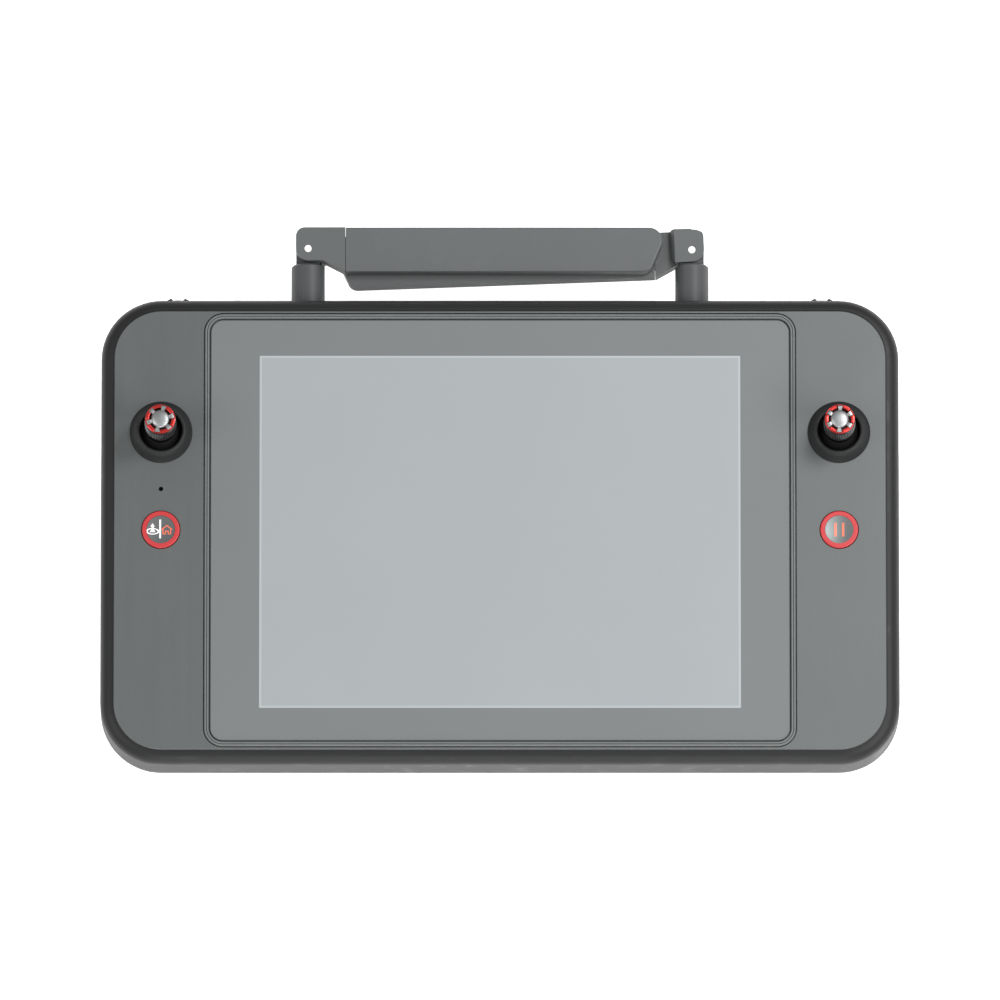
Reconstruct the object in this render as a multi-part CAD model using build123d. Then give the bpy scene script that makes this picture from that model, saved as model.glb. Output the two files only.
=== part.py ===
"""Handheld radio transmitter with a built-in touch screen, two sticks and two folding antennas.

It lies on its back grips with the screen up. X runs to the user's right, Y away from the user
and Z out of the screen. Sizes are millimetres. The origin is at the middle of the footprint,
on the surface that the grips rest on.
"""

import os

from build123d import *

# Casing
BODY_W = 267.2
BODY_H = 159.0
CORNER_R = 20.3
EDGE_R = 4.3
FACE_Z = 66.0
SEAM_Z = 50.5
BACK_Z = 35.0
BACK_R = 15.0
WALL = 2.4
BACK_T = 3.0
LIP_H = 2.0
GAP = 0.1

# Front panel, screen and gasket
PANEL_T = 2.4
PANEL_EDGE = 0.3
LEDGE_W = 2.0
LEDGE_T = 1.8
GLASS_W = 193.7
GLASS_H = 144.0
GLASS_R = 4.2
GLASS_T = 1.2
GASKET_W = 2.4
GASKET_RISE = 0.5
OUTER_GROOVE = 0.35
INNER_GROOVE = 0.45
REBATE_D = 1.3
LCD_W = 171.0
LCD_H = 129.0
LCD_T = 4.1
LCD_CLEAR = 0.6
CHASSIS_T = 2.0

# Hand grips
GRIP_TOP_Z = 48.0
GRIP_X_IN = 95.0
GRIP_X_OUT = 134.0
GRIP_Y_LOW = -72.0
GRIP_Y_HIGH = 46.0
GRIP_TAPER = 4.0
GRIP_CORNER = 17.0
GRIP_EDGE = 13.0
SLEEVE_T = 1.4
SLEEVE_TOP_Z = 33.0
CORE_WALL = 2.4

# Sticks and their gimbals
STICK_X = 113.5
STICK_Y = 33.4
PIVOT_DROP = 6.5
DOME_R = 10.0
DOME_T = 1.0
DOME_EDGE_Z = 4.7
STEM_R = 1.5
COLLAR_R = 10.5
COLLAR_HOLE_R = 7.15
COLLAR_H = 4.2
STICK_HOLE_R = 9.6
KNOB_BASE = 6.4
KNOB_TOP = 19.3
KNOB_R = 5.25
CROWN_R = 4.95
CROWN_IN_R = 3.6
CROWN_T = 1.5
TIP_R = 3.0
TIP_SPOKES = 6
GIMBAL_W = 27.0
GIMBAL_Z = 46.0
GIMBAL_WALL = 1.5
YOKE_R = 8.2
YOKE_IN_R = 5.6
YOKE_T = 3.0
TRUNNION_R = 1.1
AXLE_R = 0.8
RUNNING = 0.05

# Face buttons
BUTTON_X = 113.5
BUTTON_Y = 0.0
BUTTON_HOLE_R = 6.6
RING_R = 6.35
CAP_R = 4.75
RING_RISE = 0.7
CAP_RISE = 0.5
CAP_FLANGE_R = 7.8
CAP_FLANGE_T = 0.8
SWITCH_BOARD_Z = 58.6
MIC_Y = 14.0
MIC_R = 0.8

# Controls on the top wall, and buttons on the back
TOP_Z = 56.8
DIAL_X = 108.0
DIAL_R = 8.0
DIAL_T = 5.0
DIAL_RISE = 1.6
LIP_RISE = 1.2
LIP_HALF = 3.9
LIP_EDGE = 0.3
SCOOP_HALF = 2.3
SCOOP_SLOPE = 0.7
CRADLE_SIDE = 0.4
CRADLE_WALL = 1.1
SPINDLE_R = 1.2
SHOULDER_X = 88.0
SHOULDER_R = 3.9
POWER_X = 46.0
POWER_R = 3.4
KEY_RISE = 0.5
KEY_CLEAR = 0.2
OUTLET_X = -53.0
OUTLET_SLOTS = 7
OUTLET_PITCH = 2.7
OUTLET_SLOT = 1.4
CUSTOM_X = 100.0
CUSTOM_Y = 57.0
CUSTOM_R = 4.5

# Ports under their cover
PORT_Z = 56.9
PORT_PITCH = 18.0
COVER_W = 58.0
COVER_H = 7.4
COVER_T = 1.2
PULL_RISE = 0.3

# Back of the casing
VENT_Y = 34.0
VENT_W = 40.0
VENT_SLOTS = 9
VENT_PITCH = 4.4
VENT_SLOT = 2.0
HATCH_Y = -38.0
HATCH_W = 112.0
HATCH_H = 62.0
HATCH_T = 1.7
HATCH_LEDGE = 10.0
TRIPOD_Y = 3.0
TRIPOD_R = 2.55
TRIPOD_DEPTH = 8.0
INSERT_R = 5.5
SPEAKER_X = 62.0
SPEAKER_Y = 42.0
SPEAKER_R = 11.0
SCREW_X = 89.5
SCREW_YS = (60.0, 3.0, -60.0)
SCREW_R = 1.25
HEAD_R = 2.4
HEAD_H = 1.0
BOSS_SEAM_Z = 58.0

# Boards, battery and fan
BOARD_Z = 52.0
BOARD_T = 1.6
BOARD_W = 160.0
BOARD_LOW_Y = 7.0
BOARD_HIGH_Y = 66.0
SOCKET_L = 13.9
FAN_W = 44.0
FAN_R = 19.5
FAN_H = 9.0
BATTERY_W = 88.0
BATTERY_H = 52.0
BATTERY_T = 17.5

# Antennas
POST_X = 64.45
POST_R = 5.6
ANTENNA_DROP = 15.0
POST_RISE = 14.4
PIN_RISE = 19.3
PIN_R = 1.28
TONGUE_T = 5.0
TONGUE_R = 4.0
HEAD_T = 11.8
HEAD_EDGE = 4.1
SLOPE_SHORT = 0.6
HEAD_BACK = 4.0
BLADE_TOP = 7.3
BLADE_LOW = -8.0
BLADE_GAP = 0.6
NECK_END = 12.5
BLADE_LENGTH = 121.3
BLADE_SLANT = 6.5
TIP_HIGH_R = 4.5
TIP_LOW_R = 3.4
BLADE_WALL = 1.3
TANG_END = 30.0
HEAD_SWEEP_R = 7.0
REAR_DROOP = 2.1
BUSH_WALL = 2.0
SADDLE_HALF = 11.0
SADDLE_T = 3.8
FLANGE_T = 2.7
FLANGE_W = 1.6

# Places worked out from the sizes above
PANEL_W = BODY_W - 2 * EDGE_R
PANEL_H = BODY_H - 2 * EDGE_R
PANEL_R = CORNER_R - EDGE_R
PANEL_Z = FACE_Z - PANEL_T
LEDGE_Z = PANEL_Z - LEDGE_T
REBATE_Z = FACE_Z - REBATE_D
WALL_Y = BODY_H / 2
INNER_WALL_Y = WALL_Y - WALL
BACK_IN_Z = BACK_Z + BACK_T
PIVOT_Z = FACE_Z - PIVOT_DROP
ANTENNA_Z = FACE_Z - ANTENNA_DROP
POST_TOP_Y = WALL_Y + POST_RISE
PIN_Y = WALL_Y + PIN_RISE
SADDLE_Y = INNER_WALL_Y - SADDLE_T
BUSH_R = POST_R + BUSH_WALL
SADDLE_SEAM_Z = SEAM_Z + LIP_H + 0.15
DIAL_Y = WALL_Y + DIAL_RISE - DIAL_R
CRADLE_W = 2 * (DIAL_R + CRADLE_SIDE)
ORIGIN_Y = (PIN_Y + BLADE_TOP - WALL_Y) / 2
SIDES = {"left": -1, "right": 1}


def block(x0, x1, y0, y1, z0, z1):
    """A box between two corners."""
    middle = Pos((x0 + x1) / 2, (y0 + y1) / 2, (z0 + z1) / 2)
    return middle * Box(x1 - x0, y1 - y0, z1 - z0)


def disc(x, y, r, z0, z1):
    """A cylinder along Z."""
    return Pos(x, y, (z0 + z1) / 2) * Cylinder(r, z1 - z0)


def rod_y(x, z, r, y0, y1):
    """A cylinder along Y."""
    return Pos(x, (y0 + y1) / 2, z) * Rot(90, 0, 0) * Cylinder(r, y1 - y0)


def rod_x(y, z, r, x0, x1):
    """A cylinder along X."""
    return Pos((x0 + x1) / 2, y, z) * Rot(0, 90, 0) * Cylinder(r, x1 - x0)


def plate(w, h, r, z0, z1, y=0.0):
    """A rounded rectangle extruded from z0 to z1."""
    return Pos(0, y, z0) * extrude(RectangleRounded(w, h, r), z1 - z0)


def turned(points, x, y, z):
    """A profile of (radius, height) points turned about the vertical line at x, y."""
    face = make_face(Polyline(*[(r, 0, h) for r, h in points], close=True))
    return Pos(x, y, z) * revolve(face, Axis.Z)


def rim_form():
    """The front half's outside, with its edge rounded over."""
    solid = plate(BODY_W, BODY_H, CORNER_R, SEAM_Z, FACE_Z)
    return fillet(solid.faces().sort_by(Axis.Z)[-1].edges(), EDGE_R)


def rear_form(inset=0.0, floor=0.0):
    """The rear half's outside, or its inside when inset by the wall."""
    w = BODY_W - 2 * inset
    h = BODY_H - 2 * inset
    solid = plate(w, h, CORNER_R - inset, BACK_Z + floor, SEAM_Z)
    return fillet(solid.faces().sort_by(Axis.Z)[0].edges(), BACK_R - floor)


def key_opening(x, r):
    """The hole of a push key through the top wall."""
    return rod_y(x, TOP_Z, r + KEY_CLEAR, INNER_WALL_Y - 1, WALL_Y + 1)


def rim_frame():
    """The dark front frame: rounded edge, top wall and the ledge that the panel sits on."""
    rim = rim_form()
    rim -= plate(PANEL_W + 2 * GAP, PANEL_H + 2 * GAP, PANEL_R + GAP, PANEL_Z, FACE_Z + 1)
    rim -= plate(PANEL_W - 2 * LEDGE_W, PANEL_H - 2 * LEDGE_W, PANEL_R - LEDGE_W, SEAM_Z - 1, FACE_Z)
    rim -= plate(BODY_W - 2 * WALL, BODY_H - 2 * WALL, CORNER_R - WALL, SEAM_Z - 1, LEDGE_Z)
    step = WALL / 2
    rebate_top = SEAM_Z + LIP_H + GAP
    rim -= plate(BODY_W - 2 * step, BODY_H - 2 * step, CORNER_R - step, SEAM_Z - 1, rebate_top)
    for side in SIDES.values():
        x = side * POST_X
        near = x - SADDLE_HALF
        far = x + SADDLE_HALF
        rim += block(near, far, SADDLE_Y, INNER_WALL_Y + 0.2, SADDLE_SEAM_Z, LEDGE_Z + 0.2)
        rim -= rod_y(x, ANTENNA_Z, BUSH_R, SADDLE_Y - 1, WALL_Y + 1)
        half = CRADLE_W / 2 + GAP
        tall = DIAL_T / 2 + CRADLE_WALL + 2 * GAP
        rim -= block(
            side * DIAL_X - half, side * DIAL_X + half,
            INNER_WALL_Y - 1, WALL_Y + 1,
            TOP_Z - tall, TOP_Z + tall,
        )
        rim -= key_opening(side * SHOULDER_X, SHOULDER_R)
    rim -= key_opening(POWER_X, POWER_R)
    recess = COVER_T + GAP
    half = COVER_W / 2 + GAP
    low = PORT_Z - COVER_H / 2 - GAP
    rim -= block(-half, half, WALL_Y - recess, WALL_Y + 1, low, low + COVER_H + 2 * GAP)
    for x, w, h in port_sizes():
        rim -= block(x - w / 2, x + w / 2, INNER_WALL_Y - 1, WALL_Y, PORT_Z - h / 2, PORT_Z + h / 2)
    for n in range(OUTLET_SLOTS):
        x = OUTLET_X + OUTLET_PITCH * n
        rim -= block(x, x + OUTLET_SLOT, INNER_WALL_Y - 1, WALL_Y + 1, TOP_Z - 3, TOP_Z + 3)
    return rim


def port_sizes():
    """(x, width, height) of the wall openings for the three sockets."""
    return ((-PORT_PITCH, 16.2, 6.6), (0.0, 10.0, 4.2), (PORT_PITCH, 15.0, 7.0))


def port_sockets():
    """Three metal sockets, each a thin shell with its contact tongue."""
    y1 = INNER_WALL_Y + 0.9
    y0 = y1 - SOCKET_L
    wall = 0.4
    parts = []
    for x, w, h in port_sizes():
        outer_w = w - 0.6
        outer_h = h - 0.5
        shell = block(
            x - outer_w / 2, x + outer_w / 2, y0, y1, PORT_Z - outer_h / 2, PORT_Z + outer_h / 2
        )
        shell -= block(
            x - outer_w / 2 + wall, x + outer_w / 2 - wall, y0 + 3, y1 + 1,
            PORT_Z - outer_h / 2 + wall, PORT_Z + outer_h / 2 - wall,
        )
        reach = outer_w / 2 - 2.2
        shell += block(x - reach, x + reach, y0 + 2, y1 - 2, PORT_Z - wall, PORT_Z + wall)
        foot = block(x - 3, x + 3, y0, y0 + 5, BOARD_Z + BOARD_T, PORT_Z - outer_h / 2)
        parts.append(shell + foot)
    return Compound(parts)


def port_cover():
    """The rubber flap over the sockets, rounded at its lower edge where it bends."""
    low = PORT_Z - COVER_H / 2
    r = COVER_T / 2
    flap = block(-COVER_W / 2, COVER_W / 2, WALL_Y - COVER_T, WALL_Y, low + r, low + COVER_H)
    flap += rod_x(WALL_Y - r, low + r, r, -COVER_W / 2, COVER_W / 2)
    outer = flap.faces().sort_by(Axis.Y)[-1]
    pull = block(-6, 6, WALL_Y - COVER_T + 0.3, WALL_Y + PULL_RISE, low + COVER_H - 1.2, low + COVER_H)
    flap = fillet(outer.edges().filter_by(Axis.Z), 0.3)
    return flap + pull


def front_panel():
    """The grey face with its rebate for the glass, the control holes and the screw bosses."""
    panel = plate(PANEL_W, PANEL_H, PANEL_R, PANEL_Z, FACE_Z)
    panel = chamfer(panel.faces().sort_by(Axis.Z)[-1].edges(), PANEL_EDGE)
    seat_w = GLASS_W + 2 * GASKET_W
    seat_h = GLASS_H + 2 * GASKET_W
    panel -= plate(seat_w, seat_h, GLASS_R + GASKET_W, REBATE_Z, FACE_Z + 1)
    panel -= plate(LCD_W + 2 * LCD_CLEAR, LCD_H + 2 * LCD_CLEAR, 1.5, PANEL_Z - 1, FACE_Z)
    for side in SIDES.values():
        panel -= disc(side * STICK_X, STICK_Y, STICK_HOLE_R, PANEL_Z - 1, FACE_Z + 1)
        panel -= disc(side * BUTTON_X, BUTTON_Y, BUTTON_HOLE_R, PANEL_Z - 1, FACE_Z + 1)
        for y in SCREW_YS:
            boss = disc(side * SCREW_X, y, 3.2, BOSS_SEAM_Z, PANEL_Z + 0.1)
            panel += boss - disc(side * SCREW_X, y, SCREW_R, BOSS_SEAM_Z - 1, PANEL_Z - 1)
    panel -= disc(-BUTTON_X, MIC_Y, MIC_R, PANEL_Z - 1, FACE_Z + 1)
    return panel


def screen_gasket():
    """The raised ring round the glass."""
    w = GLASS_W + 2 * (GASKET_W - OUTER_GROOVE)
    h = GLASS_H + 2 * (GASKET_W - OUTER_GROOVE)
    r = GLASS_R + GASKET_W - OUTER_GROOVE
    ring = plate(w, h, r, REBATE_Z, FACE_Z + GASKET_RISE)
    hole_r = GLASS_R + INNER_GROOVE
    hole = plate(GLASS_W + 2 * INNER_GROOVE, GLASS_H + 2 * INNER_GROOVE, hole_r, REBATE_Z - 1, FACE_Z + 2)
    ring -= hole
    return fillet(ring.faces().sort_by(Axis.Z)[-1].edges(), 0.35)


def cover_glass():
    """The touch screen's cover glass."""
    glass = plate(GLASS_W, GLASS_H, GLASS_R, REBATE_Z, REBATE_Z + GLASS_T)
    return chamfer(glass.faces().sort_by(Axis.Z)[-1].edges(), 0.2)


def lcd_module():
    """The display panel under the glass, with its folded metal tray."""
    top = REBATE_Z - GAP
    module = block(-LCD_W / 2, LCD_W / 2, -LCD_H / 2, LCD_H / 2, top - LCD_T, top)
    tail = block(-20, 20, -LCD_H / 2 - 0.4, -LCD_H / 2 + 1, top - LCD_T, top - 1)
    return module + tail


def chassis_plate():
    """The cast plate that the display and the board are screwed to."""
    top = REBATE_Z - GAP - LCD_T - 0.2
    sheet = block(-85, 85, -66, 62, top - CHASSIS_T, top)
    for x in (-56.0, -18.5, 18.5, 56.0):
        sheet -= plate(24, 34, 4, top - 3, top + 1, y=-38).moved(Location((x, 0, 0)))
        sheet -= plate(24, 34, 4, top - 3, top + 1, y=26).moved(Location((x, 0, 0)))
    return sheet


def main_board():
    """The main circuit board, with a tab under the sockets."""
    top = BOARD_Z + BOARD_T
    board = block(-BOARD_W / 2, BOARD_W / 2, BOARD_LOW_Y, BOARD_HIGH_Y, BOARD_Z, top)
    tab_y = INNER_WALL_Y - 1.1
    return board + block(-COVER_W / 2 - 1, COVER_W / 2 + 1, BOARD_HIGH_Y - 1, tab_y, BOARD_Z, top)


def board_components():
    """Shield cans and large chips on the board."""
    top = BOARD_Z + BOARD_T
    cans = (
        (-62, 52, 26, 18, 1.8),
        (-30, 40, 22, 22, 1.8),
        (6, 44, 14, 14, 1.4),
        (34, 38, 26, 20, 1.8),
        (64, 52, 18, 14, 1.8),
        (60, 20, 16, 10, 1.2),
        (-58, 20, 12, 12, 1.2),
    )
    parts = [
        block(x - w / 2, x + w / 2, y - h / 2, y + h / 2, top, top + t) for x, y, w, h, t in cans
    ]
    return Compound(parts)


def heat_sink():
    """The finned sink between the board and the fan."""
    base = block(-32, 32, 11, 57, BOARD_Z - 1.5, BOARD_Z)
    for n in range(13):
        x = -30.0 + 5.0 * n
        base += block(x - 0.5, x + 0.5, 12, 56, BACK_IN_Z + FAN_H + 0.3, BOARD_Z - 1.4)
    return base


def fan_housing():
    """The fan's frame, with the struts that carry its spindle."""
    z0 = BACK_IN_Z
    z1 = z0 + FAN_H
    half = FAN_W / 2
    frame = block(-half, half, VENT_Y - half, VENT_Y + half, z0, z1)
    frame -= disc(0, VENT_Y, FAN_R, z0 - 1, z1 + 1)
    frame += disc(0, VENT_Y, 7.5, z0, z0 + 1.0)
    for n in range(3):
        strut = Pos(0, VENT_Y, z0 + 0.5) * Rot(0, 0, 30 + 120 * n) * Pos(FAN_R / 2 + 0.5, 0, 0)
        frame += strut * Box(FAN_R + 1, 2.0, 1.0)
    return frame + disc(0, VENT_Y, 1.0, z0 + 0.9, z1 - 2.0)


def fan_rotor():
    """The fan's hub and blades."""
    z0 = BACK_IN_Z + 1.4
    z1 = BACK_IN_Z + FAN_H - 0.8
    rotor = disc(0, VENT_Y, 8.0, z0, z1)
    middle = (z0 + z1) / 2
    for n in range(7):
        blade = Pos(0, VENT_Y, middle) * Rot(0, 0, n * 360 / 7) * Pos(13.1, 0, 0) * Rot(38, 0, 0)
        rotor += blade * Box(11.2, 7.0, 1.1)
    return rotor - disc(0, VENT_Y, 1.0 + RUNNING, z0 - 1, z1 - 1.0)


def rear_shell():
    """The rear half: tray with lip, vents, hatch rebate, bosses and antenna saddles."""
    form = rear_form()
    shell = form
    step = WALL / 2 + GAP
    lip = plate(BODY_W - 2 * step, BODY_H - 2 * step, CORNER_R - step, SEAM_Z - 1, SEAM_Z + LIP_H)
    shell += lip
    shell -= rear_form(WALL, BACK_T)
    shell -= plate(BODY_W - 2 * WALL, BODY_H - 2 * WALL, CORNER_R - WALL, SEAM_Z - 0.2, SEAM_Z + 9)
    for side in SIDES.values():
        x = side * POST_X
        near = x - SADDLE_HALF
        far = x + SADDLE_HALF
        saddle = block(near, far, SADDLE_Y, INNER_WALL_Y + 0.2, BACK_IN_Z, SADDLE_SEAM_Z - 0.05)
        shell += saddle & (form + above(SEAM_Z))
        shell -= rod_y(x, ANTENNA_Z, BUSH_R, SADDLE_Y - 1, WALL_Y + 1)
        for y in SCREW_YS:
            shell += disc(side * SCREW_X, y, 4.2, BACK_IN_Z - 0.5, BOSS_SEAM_Z - 0.05)
            shell -= disc(side * SCREW_X, y, HEAD_R + 0.2, BACK_Z - 1, BACK_Z + HEAD_H + 0.2)
            shell -= disc(side * SCREW_X, y, SCREW_R + GAP, BACK_Z, BOSS_SEAM_Z + 1)
        shell -= disc(side * CUSTOM_X, CUSTOM_Y, CUSTOM_R + KEY_CLEAR, BACK_Z - 1, BACK_IN_Z + 1)
        for x, y in speaker_holes(side):
            shell -= disc(x, y, 0.8, BACK_Z - 1, BACK_IN_Z + 1)
    span = VENT_PITCH * (VENT_SLOTS - 1)
    for n in range(VENT_SLOTS):
        slot = SlotOverall(VENT_W, VENT_SLOT)
        y = VENT_Y - span / 2 + VENT_PITCH * n
        shell -= Pos(0, y, BACK_Z - 1) * extrude(slot, BACK_T + 2)
    shell -= plate(HATCH_W, HATCH_H, 4, BACK_Z - 1, BACK_Z + HATCH_T + GAP, y=HATCH_Y)
    inner_w = HATCH_W - 2 * HATCH_LEDGE
    shell -= plate(inner_w, HATCH_H - 8, 3, BACK_Z - 1, BACK_IN_Z + 1, y=HATCH_Y)
    for x, y in hatch_screws():
        shell += disc(x, y, 3.0, BACK_IN_Z - 0.5, BACK_IN_Z + 5)
        shell -= disc(x, y, SCREW_R, BACK_Z, BACK_IN_Z + 4)
    shell += disc(0, TRIPOD_Y, INSERT_R + 2.5, BACK_IN_Z - 0.5, BACK_Z + TRIPOD_DEPTH + 2.5)
    return shell - disc(0, TRIPOD_Y, INSERT_R, BACK_Z - 1, BACK_Z + TRIPOD_DEPTH + 1)


def speaker_holes(side):
    """Centres of the small holes over one speaker: one, six round it and twelve outside."""
    places = [(side * SPEAKER_X, SPEAKER_Y)]
    for ring, count in ((3.2, 6), (6.4, 12)):
        places += [
            (side * SPEAKER_X + p.X, SPEAKER_Y + p.Y)
            for p in (Vector(ring, 0, 0).rotate(Axis.Z, 360 * n / count) for n in range(count))
        ]
    return places


def hatch_screws():
    """Centres of the hatch's four screws."""
    dx = HATCH_W / 2 - 5
    dy = HATCH_H / 2 - 7
    return [(sx * dx, HATCH_Y + sy * dy) for sx in (-1, 1) for sy in (-1, 1)]


def battery_cover():
    """The hatch over the battery, flush with the back."""
    hatch = plate(HATCH_W - 0.5, HATCH_H - 0.5, 3.75, BACK_Z, BACK_Z + HATCH_T, y=HATCH_Y)
    for n in range(5):
        y = HATCH_Y - 12 + 6 * n
        hatch -= Pos(0, y, BACK_Z - 0.4) * extrude(SlotOverall(60, 1.6), 0.8)
    for x, y in hatch_screws():
        hatch -= disc(x, y, HEAD_R + 0.15, BACK_Z - 1, BACK_Z + HEAD_H)
        hatch -= disc(x, y, SCREW_R + GAP, BACK_Z, BACK_Z + HATCH_T + 1)
    return hatch


def screw(x, y, seat_z, tip_z):
    """A pan-head screw driven upwards, with a cross recess."""
    body = disc(x, y, HEAD_R, seat_z - HEAD_H, seat_z) + disc(x, y, SCREW_R, seat_z, tip_z)
    depth = HEAD_H * 0.6
    low = seat_z - HEAD_H
    body -= block(x - 1.4, x + 1.4, y - 0.25, y + 0.25, low - 1, low + depth)
    return body - block(x - 0.25, x + 0.25, y - 1.4, y + 1.4, low - 1, low + depth)


def casing_screws():
    """Six screws that clamp the halves, and four that hold the hatch."""
    long = [
        screw(side * SCREW_X, y, BACK_Z + HEAD_H + 0.2, PANEL_Z - 1.4)
        for side in SIDES.values()
        for y in SCREW_YS
    ]
    short = [screw(x, y, BACK_Z + HEAD_H, BACK_IN_Z + 3.6) for x, y in hatch_screws()]
    return Compound(long + short)


def tripod_insert():
    """The brass threaded bush on the back, modelled at its thread's minor radius."""
    top = BACK_Z + TRIPOD_DEPTH + 1
    return disc(0, TRIPOD_Y, INSERT_R, BACK_Z, top) - disc(0, TRIPOD_Y, TRIPOD_R, BACK_Z - 1, top - 1)


def speakers():
    """Two small speakers behind the hole patterns."""
    parts = []
    for side in SIDES.values():
        x = side * SPEAKER_X
        can = disc(x, SPEAKER_Y, SPEAKER_R, BACK_IN_Z, BACK_IN_Z + 3)
        parts.append(can + disc(x, SPEAKER_Y, 7, BACK_IN_Z + 2.9, BACK_IN_Z + 6))
    return Compound(parts)


def battery_pack():
    """The wrapped battery behind the hatch, with its lead block."""
    x = BATTERY_W / 2
    y = BATTERY_H / 2
    z0 = BACK_IN_Z + 0.6
    pack = block(-x, x, HATCH_Y - y, HATCH_Y + y, z0, z0 + BATTERY_T)
    pack = fillet(pack.edges().filter_by(Axis.X), 2.5)
    return pack + block(x - 20, x - 6, HATCH_Y + y - 1, HATCH_Y + y + 2.5, z0 + 5, z0 + 10)


def grip_form(side, inset=0.0):
    """One hand grip: it narrows towards its flat foot and is rounded all round."""
    w = GRIP_X_OUT - GRIP_X_IN - 2 * inset
    h = GRIP_Y_HIGH - GRIP_Y_LOW - 2 * inset
    top = Pos(side * (GRIP_X_IN + GRIP_X_OUT) / 2, (GRIP_Y_LOW + GRIP_Y_HIGH) / 2, GRIP_TOP_Z)
    outline = top * RectangleRounded(w, h, GRIP_CORNER - inset)
    solid = extrude(outline, GRIP_TOP_Z - inset, dir=(0, 0, -1), taper=GRIP_TAPER)
    return fillet(solid.faces().sort_by(Axis.Z)[0].edges(), GRIP_EDGE - inset)


def above(z):
    """Everything over one height."""
    return block(-BODY_W, BODY_W, -BODY_W, BODY_W, z, z + BODY_W)


def grip_sleeve(side):
    """The rubber sleeve over the lower part of a grip."""
    return grip_form(side) - grip_form(side, SLEEVE_T) - above(SLEEVE_TOP_Z)


def grip_core(side):
    """The hard grip shell that the sleeve is moulded over, shaped to the casing's back."""
    core = grip_form(side) & above(SLEEVE_TOP_Z)
    core += grip_form(side, SLEEVE_T) - above(SLEEVE_TOP_Z + 0.1)
    core -= grip_form(side, SLEEVE_T + CORE_WALL)
    return core - rear_form() - above(SEAM_Z - 4)


def stick_collar(side):
    """The raised cone round a stick, with a short spigot in the panel's hole."""
    profile = (
        (COLLAR_R - 1.6, -1.0),
        (STICK_HOLE_R - GAP, -1.0),
        (STICK_HOLE_R - GAP, 0.0),
        (COLLAR_R, 0.0),
        (COLLAR_R, 0.35),
        (COLLAR_R - 0.6, 1.3),
        (COLLAR_R - 1.6, COLLAR_H - 1.0),
        (COLLAR_HOLE_R + 1.1, COLLAR_H - 0.25),
        (COLLAR_HOLE_R + 0.6, COLLAR_H),
        (COLLAR_HOLE_R + 0.15, COLLAR_H - 0.1),
        (COLLAR_HOLE_R, COLLAR_H - 0.35),
        (COLLAR_HOLE_R, COLLAR_H - 0.9),
        (COLLAR_R - 1.8, 0.2),
    )
    return turned(profile, side * STICK_X, STICK_Y, FACE_Z)


def gimbal_frame(side):
    """The open box under the panel that carries the yoke's bearings."""
    x = side * STICK_X
    half = GIMBAL_W / 2
    inner = half - GIMBAL_WALL
    top = LEDGE_Z - 0.3
    frame = block(x - half, x + half, STICK_Y - half, STICK_Y + half, GIMBAL_Z, top)
    frame -= block(x - inner, x + inner, STICK_Y - inner, STICK_Y + inner, GIMBAL_Z + GIMBAL_WALL, top + 1)
    for sx in (-1, 1):
        a, b = sorted((sx * (DOME_R + 0.5), sx * (inner + 0.1)))
        frame += block(x + a, x + b, STICK_Y - 2.5, STICK_Y + 2.5, GIMBAL_Z + 1, PIVOT_Z + 2)
        for sy in (-1, 1):
            frame += disc(x + sx * (half - 2), STICK_Y + sy * (half - 2), 1.8, GIMBAL_Z, PANEL_Z)
    return frame - rod_x(STICK_Y, PIVOT_Z, TRUNNION_R + RUNNING, x - half - 1, x + half + 1)


def gimbal_yoke(side):
    """The ring that tips about X, with a trunnion on each side."""
    x = side * STICK_X
    ring = disc(x, STICK_Y, YOKE_R, PIVOT_Z - YOKE_T / 2, PIVOT_Z + YOKE_T / 2)
    reach = GIMBAL_W / 2 - 0.4
    ring += rod_x(STICK_Y, PIVOT_Z, TRUNNION_R, x - reach, x + reach)
    ring -= disc(x, STICK_Y, YOKE_IN_R, PIVOT_Z - 3, PIVOT_Z + 3)
    return ring - rod_y(x, PIVOT_Z, AXLE_R + RUNNING, STICK_Y - YOKE_R - 1, STICK_Y + YOKE_R + 1)


def stick_stem(side):
    """The stem with its hub, cross axle and dust dome."""
    x = side * STICK_X
    centre = Pos(x, STICK_Y, PIVOT_Z)
    dome = centre * Sphere(DOME_R) - centre * Sphere(DOME_R - DOME_T)
    dome -= block(x - 20, x + 20, STICK_Y - 20, STICK_Y + 20, PIVOT_Z - 20, PIVOT_Z + DOME_EDGE_Z)
    stem = centre * Sphere(3.0) + disc(x, STICK_Y, STEM_R, PIVOT_Z - 6, FACE_Z + KNOB_TOP - 2.0)
    stem += rod_y(x, PIVOT_Z, AXLE_R, STICK_Y - YOKE_R + 0.6, STICK_Y + YOKE_R - 0.6)
    return stem + dome


def stick_knob(side):
    """The stick's grip: a belled skirt under a straight barrel."""
    profile = (
        (STEM_R, KNOB_BASE + 1.9),
        (2.2, KNOB_BASE + 1.7),
        (4.5, KNOB_BASE),
        (4.9, KNOB_BASE),
        (5.05, KNOB_BASE + 0.3),
        (KNOB_R, 9.2),
        (KNOB_R, KNOB_TOP - 0.35),
        (CROWN_R, KNOB_TOP),
        (0, KNOB_TOP),
        (0, KNOB_TOP - 2.0),
        (STEM_R, KNOB_TOP - 2.0),
    )
    return turned(profile, side * STICK_X, STICK_Y, FACE_Z)


def spokes(side, width, inner, outer, z0, z1):
    """Six radial bars about a stick's axis."""
    parts = []
    for n in range(TIP_SPOKES):
        turn = Pos(side * STICK_X, STICK_Y, (z0 + z1) / 2) * Rot(0, 0, 360 * (n + 0.25) / TIP_SPOKES)
        parts.append(turn * Pos((inner + outer) / 2, 0, 0) * Box(outer - inner, width, z1 - z0))
    return parts


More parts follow.
